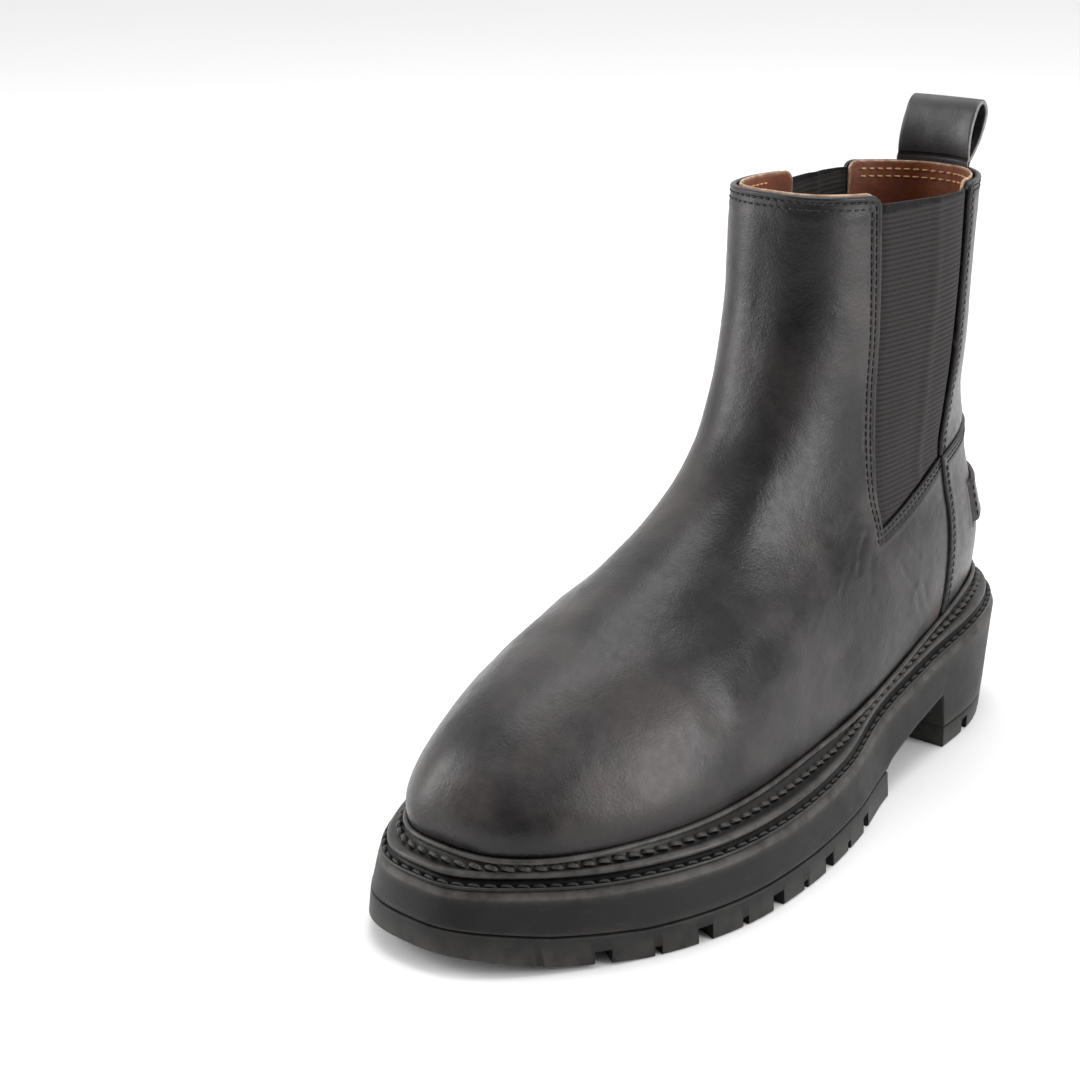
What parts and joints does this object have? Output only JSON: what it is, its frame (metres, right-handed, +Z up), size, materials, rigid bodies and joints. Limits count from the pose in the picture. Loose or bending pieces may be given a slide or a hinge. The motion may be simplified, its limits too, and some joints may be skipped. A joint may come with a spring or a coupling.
{
  "type": "chelsea boot",
  "caption": "Ankle boot for the left foot with elastic side gores, a pull loop at the back, a stitched welt and a lugged rubber sole with a block heel.",
  "frame": {"origin": "middle of the heel's ground face", "axes": "+X from heel to toe, +Y towards the outer side of the left foot, +Z up"},
  "size_m": [0.305, 0.1202, 0.2299],
  "materials": {
    "black_leather": "waxed, satin",
    "elastic": "ribbed, matt",
    "cloth_backing": "matt",
    "stiffener": "matt, resin-stiffened",
    "tan_lining": "smooth, satin",
    "strap_leather": "smooth, satin",
    "footbed_leather": "smooth",
    "insole_board": "fibre board, matt",
    "cork": "granular, matt",
    "steel": "plain",
    "welt": "satin",
    "rubber": "satin",
    "thread": "waxed, matt"
  },
  "bodies": {
    "boot": {"vamp": "black_leather", "heel_panel": "black_leather", "gore_lateral": "elastic", "gore_medial": "elastic", "vamp_backing": "cloth_backing", "toe_puff": "stiffener", "heel_stiffener": "stiffener", "vamp_lining": "tan_lining", "heel_lining": "tan_lining", "heel_strap": "strap_leather", "footbed": "footbed_leather", "insole_board": "insole_board", "cork_filler": "cork", "shank": "steel", "welt": "welt", "welt_bead": "welt", "midsole": "welt", "rubber_unit": "rubber", "forepart_tread": "rubber", "heel_lift": "rubber", "welt_stitches": "thread", "midsole_stitches": "thread"},
    "back_shaft": {"back_panel": "black_leather", "back_backing": "cloth_backing", "back_lining": "tan_lining", "back_stay": "strap_leather", "tab_anchor": "strap_leather"},
    "pull_loop": {"pull_tab": "strap_leather"}
  },
  "joints": [
    {"name": "back_shaft_flex", "type": "hinge", "parent": "boot", "child": "back_shaft", "pos_m": [-0.0275, -0.002, 0.1138], "axis": [0, -1, 0], "range_deg": [0, 10], "stiffness_Nm_per_rad": 4, "deforming": ["gore_lateral", "gore_medial"]},
    {"name": "pull_loop_fold", "type": "hinge", "parent": "back_shaft", "child": "pull_loop", "pos_m": [-0.0252, -0.004, 0.20855], "axis": [0, 1, 0], "range_deg": [-70, 80], "stiffness_Nm_per_rad": 0.02}
  ]
}
